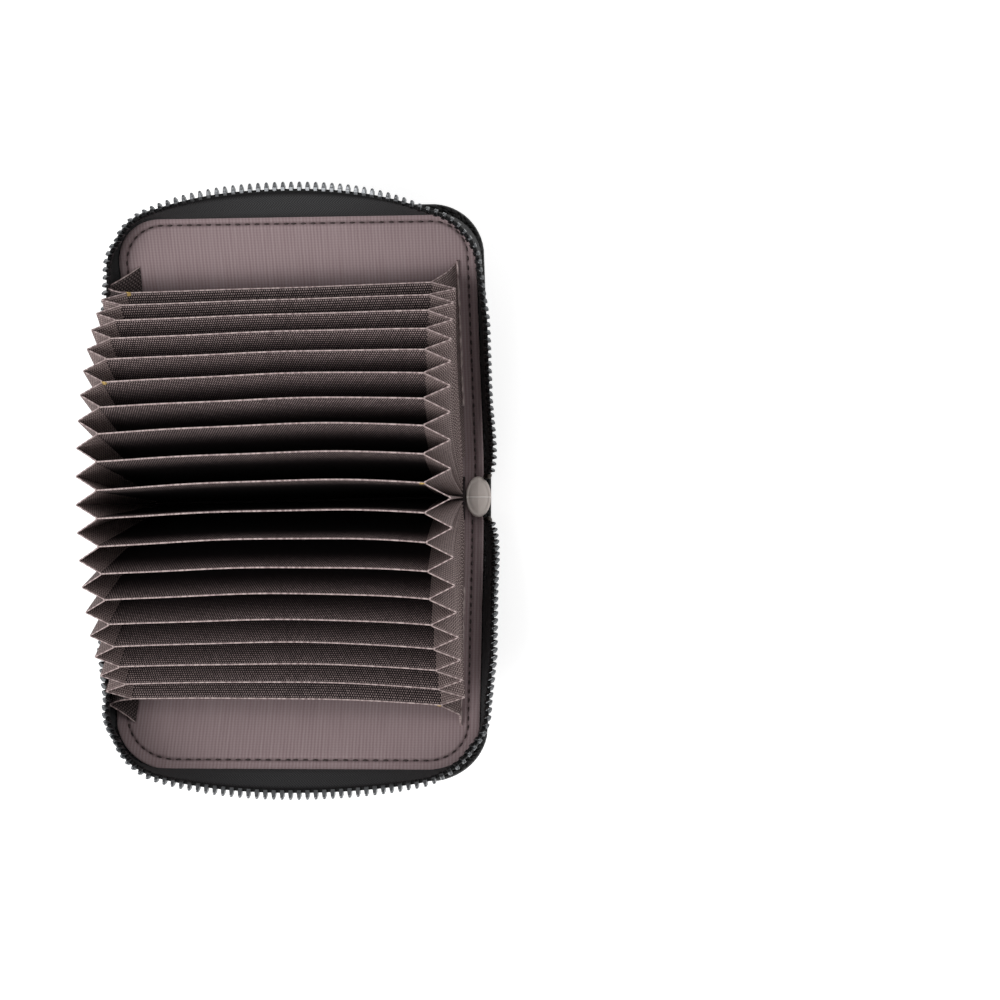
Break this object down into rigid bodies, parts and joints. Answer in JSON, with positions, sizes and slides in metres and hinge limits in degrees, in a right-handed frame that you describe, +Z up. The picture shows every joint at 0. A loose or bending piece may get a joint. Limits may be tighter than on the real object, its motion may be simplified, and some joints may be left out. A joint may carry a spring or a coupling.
{
  "type": "accordion card wallet",
  "caption": "Zip-round leather card wallet, open on its spine, with a fan of cloth card pockets between its covers and a zip pull at one end.",
  "frame": {"origin": "middle of the spine's outer face, which lies on the table", "axes": "X along the spine towards the round end tab, +Y towards the back cover, +Z up to the pocket mouths"},
  "size_m": [0.1258, 0.1774, 0.0714],
  "materials": {
    "leather": "pebble-grained, semi-matt",
    "board": "plain grey stiffener board",
    "lining": "slub weave, matt",
    "leaf_cloth": "ribbed weave, matt",
    "gusset_cloth": "ribbed weave, matt",
    "zip_tape": "herringbone tape, matt",
    "zip_teeth": "moulded teeth, satin",
    "gunmetal": "gunmetal plating, satin",
    "end_tab": "grosgrain, matt"
  },
  "bodies": {
    "spine": {"spine_leather": "leather", "spine_board": "board", "spine_lining": "lining", "accordion_binding": "leaf_cloth", "left_gusset": "gusset_cloth", "right_gusset": "gusset_cloth", "leaf_10": "leaf_cloth", "zip_head_tape": "zip_tape", "zip_tail_tape": "zip_tape", "zip_tail_chain": "zip_teeth", "bottom_stop": "gunmetal", "top_stop_front": "gunmetal", "top_stop_back": "gunmetal", "zip_end_tab": "end_tab"},
    "slider": {"slider_body": "gunmetal", "slider_crown": "gunmetal"},
    "pull_ring": {"pull_ring": "gunmetal"},
    "pull_tab": {"pull_tab": "gunmetal"},
    "front_cover": {"front_cover_leather": "leather", "front_cover_board": "board", "front_cover_lining": "lining", "front_zip_tape_slider_side": "zip_tape", "front_zip_teeth_slider_side": "zip_teeth", "front_zip_tape_tab_side": "zip_tape", "front_zip_teeth_tab_side": "zip_teeth"},
    "front_zip_flap": {"front_zip_flap_tape": "zip_tape", "front_zip_flap_teeth": "zip_teeth"},
    "back_cover": {"back_cover_leather": "leather", "back_cover_board": "board", "back_cover_lining": "lining", "back_zip_tape_slider_side": "zip_tape", "back_zip_teeth_slider_side": "zip_teeth", "back_zip_tape_tab_side": "zip_tape", "back_zip_teeth_tab_side": "zip_teeth"},
    "back_zip_flap": {"back_zip_flap_tape": "zip_tape", "back_zip_flap_teeth": "zip_teeth"},
    "leaf_09": {"leaf_09": "leaf_cloth"},
    "leaf_08": {"leaf_08": "leaf_cloth"},
    "leaf_07": {"leaf_07": "leaf_cloth"},
    "leaf_06": {"leaf_06": "leaf_cloth"},
    "leaf_05": {"leaf_05": "leaf_cloth"},
    "leaf_04": {"leaf_04": "leaf_cloth"},
    "leaf_03": {"leaf_03": "leaf_cloth"},
    "leaf_02": {"leaf_02": "leaf_cloth"},
    "leaf_01": {"leaf_01": "leaf_cloth"},
    "leaf_11": {"leaf_11": "leaf_cloth"},
    "leaf_12": {"leaf_12": "leaf_cloth"},
    "leaf_13": {"leaf_13": "leaf_cloth"},
    "leaf_14": {"leaf_14": "leaf_cloth"},
    "leaf_15": {"leaf_15": "leaf_cloth"},
    "leaf_16": {"leaf_16": "leaf_cloth"},
    "leaf_17": {"leaf_17": "leaf_cloth"},
    "leaf_18": {"leaf_18": "leaf_cloth"},
    "leaf_19": {"leaf_19": "leaf_cloth"}
  },
  "joints": [
    {"name": "front_cover_hinge", "type": "hinge", "parent": "spine", "child": "front_cover", "pos_m": [0, -0.013, 0.0015], "axis": [1, 0, 0], "range_deg": [-62, 28], "deforming": ["left_gusset", "right_gusset"]},
    {"name": "back_cover_hinge", "type": "hinge", "parent": "spine", "child": "back_cover", "pos_m": [0, 0.013, 0.0015], "axis": [-1, 0, 0], "range_deg": [-62, 28]},
    {"name": "front_zip_flap_hinge", "type": "hinge", "parent": "front_cover", "child": "front_zip_flap", "pos_m": [0, -0.08092, 0.04033], "axis": [1, 0, 0], "range_deg": [-59, 26.7]},
    {"name": "back_zip_flap_hinge", "type": "hinge", "parent": "back_cover", "child": "back_zip_flap", "pos_m": [0, 0.08092, 0.04033], "axis": [-1, 0, 0], "range_deg": [-59, 26.7]},
    {"name": "leaf_09_hinge", "type": "hinge", "parent": "spine", "child": "leaf_09", "pos_m": [0, -0.0011, 0.0094], "axis": [1, 0, 0], "range_deg": [-6.31, 2.85]},
    {"name": "leaf_08_hinge", "type": "hinge", "parent": "leaf_09", "child": "leaf_08", "pos_m": [0, -0.00219, 0.00928], "axis": [1, 0, 0], "range_deg": [-6.31, 2.85]},
    {"name": "leaf_07_hinge", "type": "hinge", "parent": "leaf_08", "child": "leaf_07", "pos_m": [0, -0.00327, 0.00904], "axis": [1, 0, 0], "range_deg": [-6.31, 2.85]},
    {"name": "leaf_06_hinge", "type": "hinge", "parent": "leaf_07", "child": "leaf_06", "pos_m": [0, -0.00431, 0.00868], "axis": [1, 0, 0], "range_deg": [-6.31, 2.85]},
    {"name": "leaf_05_hinge", "type": "hinge", "parent": "leaf_06", "child": "leaf_05", "pos_m": [0, -0.0053, 0.00822], "axis": [1, 0, 0], "range_deg": [-6.31, 2.85]},
    {"name": "leaf_04_hinge", "type": "hinge", "parent": "leaf_05", "child": "leaf_04", "pos_m": [0, -0.00624, 0.00764], "axis": [1, 0, 0], "range_deg": [-6.31, 2.85]},
    {"name": "leaf_03_hinge", "type": "hinge", "parent": "leaf_04", "child": "leaf_03", "pos_m": [0, -0.00711, 0.00697], "axis": [1, 0, 0], "range_deg": [-6.31, 2.85]},
    {"name": "leaf_02_hinge", "type": "hinge", "parent": "leaf_03", "child": "leaf_02", "pos_m": [0, -0.0079, 0.0062], "axis": [1, 0, 0], "range_deg": [-6.31, 2.85]},
    {"name": "leaf_01_hinge", "type": "hinge", "parent": "leaf_02", "child": "leaf_01", "pos_m": [0, -0.0086, 0.00535], "axis": [1, 0, 0], "range_deg": [-6.31, 2.85]},
    {"name": "leaf_11_hinge", "type": "hinge", "parent": "spine", "child": "leaf_11", "pos_m": [0, 0.0011, 0.0094], "axis": [-1, 0, 0], "range_deg": [-6.31, 2.85]},
    {"name": "leaf_12_hinge", "type": "hinge", "parent": "leaf_11", "child": "leaf_12", "pos_m": [0, 0.00219, 0.00928], "axis": [-1, 0, 0], "range_deg": [-6.31, 2.85]},
    {"name": "leaf_13_hinge", "type": "hinge", "parent": "leaf_12", "child": "leaf_13", "pos_m": [0, 0.00327, 0.00904], "axis": [-1, 0, 0], "range_deg": [-6.31, 2.85]},
    {"name": "leaf_14_hinge", "type": "hinge", "parent": "leaf_13", "child": "leaf_14", "pos_m": [0, 0.00431, 0.00868], "axis": [-1, 0, 0], "range_deg": [-6.31, 2.85]},
    {"name": "leaf_15_hinge", "type": "hinge", "parent": "leaf_14", "child": "leaf_15", "pos_m": [0, 0.0053, 0.00822], "axis": [-1, 0, 0], "range_deg": [-6.31, 2.85]},
    {"name": "leaf_16_hinge", "type": "hinge", "parent": "leaf_15", "child": "leaf_16", "pos_m": [0, 0.00624, 0.00764], "axis": [-1, 0, 0], "range_deg": [-6.31, 2.85]},
    {"name": "leaf_17_hinge", "type": "hinge", "parent": "leaf_16", "child": "leaf_17", "pos_m": [0, 0.00711, 0.00697], "axis": [-1, 0, 0], "range_deg": [-6.31, 2.85]},
    {"name": "leaf_18_hinge", "type": "hinge", "parent": "leaf_17", "child": "leaf_18", "pos_m": [0, 0.0079, 0.0062], "axis": [-1, 0, 0], "range_deg": [-6.31, 2.85]},
    {"name": "leaf_19_hinge", "type": "hinge", "parent": "leaf_18", "child": "leaf_19", "pos_m": [0, 0.0086, 0.00535], "axis": [-1, 0, 0], "range_deg": [-6.31, 2.85]},
    {"name": "slider_slide", "type": "slide", "parent": "spine", "child": "slider", "axis": [0, 0, 1], "range_m": [0, 0.0088]},
    {"name": "pull_ring_hinge", "type": "hinge", "parent": "slider", "child": "pull_ring", "pos_m": [-0.06015, 0, 0.0118], "axis": [0, 1, 0], "range_deg": [0, 90]},
    {"name": "pull_tab_hinge", "type": "hinge", "parent": "pull_ring", "child": "pull_tab", "pos_m": [-0.06015, 0.0024, 0.0066], "axis": [0, 0, 1], "range_deg": [0, 95]}
  ],
  "couplings": [
    {"joint": "back_cover_hinge", "follows": "front_cover_hinge", "ratio": 1},
    {"joint": "front_zip_flap_hinge", "follows": "front_cover_hinge", "ratio": 0.95},
    {"joint": "back_zip_flap_hinge", "follows": "front_cover_hinge", "ratio": 0.95},
    {"joint": "leaf_09_hinge", "follows": "front_cover_hinge", "ratio": 0.10161},
    {"joint": "leaf_08_hinge", "follows": "front_cover_hinge", "ratio": 0.10161},
    {"joint": "leaf_07_hinge", "follows": "front_cover_hinge", "ratio": 0.10161},
    {"joint": "leaf_06_hinge", "follows": "front_cover_hinge", "ratio": 0.10161},
    {"joint": "leaf_05_hinge", "follows": "front_cover_hinge", "ratio": 0.10161},
    {"joint": "leaf_04_hinge", "follows": "front_cover_hinge", "ratio": 0.10161},
    {"joint": "leaf_03_hinge", "follows": "front_cover_hinge", "ratio": 0.10161},
    {"joint": "leaf_02_hinge", "follows": "front_cover_hinge", "ratio": 0.10161},
    {"joint": "leaf_01_hinge", "follows": "front_cover_hinge", "ratio": 0.10161},
    {"joint": "leaf_11_hinge", "follows": "front_cover_hinge", "ratio": 0.10161},
    {"joint": "leaf_12_hinge", "follows": "front_cover_hinge", "ratio": 0.10161},
    {"joint": "leaf_13_hinge", "follows": "front_cover_hinge", "ratio": 0.10161},
    {"joint": "leaf_14_hinge", "follows": "front_cover_hinge", "ratio": 0.10161},
    {"joint": "leaf_15_hinge", "follows": "front_cover_hinge", "ratio": 0.10161},
    {"joint": "leaf_16_hinge", "follows": "front_cover_hinge", "ratio": 0.10161},
    {"joint": "leaf_17_hinge", "follows": "front_cover_hinge", "ratio": 0.10161},
    {"joint": "leaf_18_hinge", "follows": "front_cover_hinge", "ratio": 0.10161},
    {"joint": "leaf_19_hinge", "follows": "front_cover_hinge", "ratio": 0.10161}
  ]
}
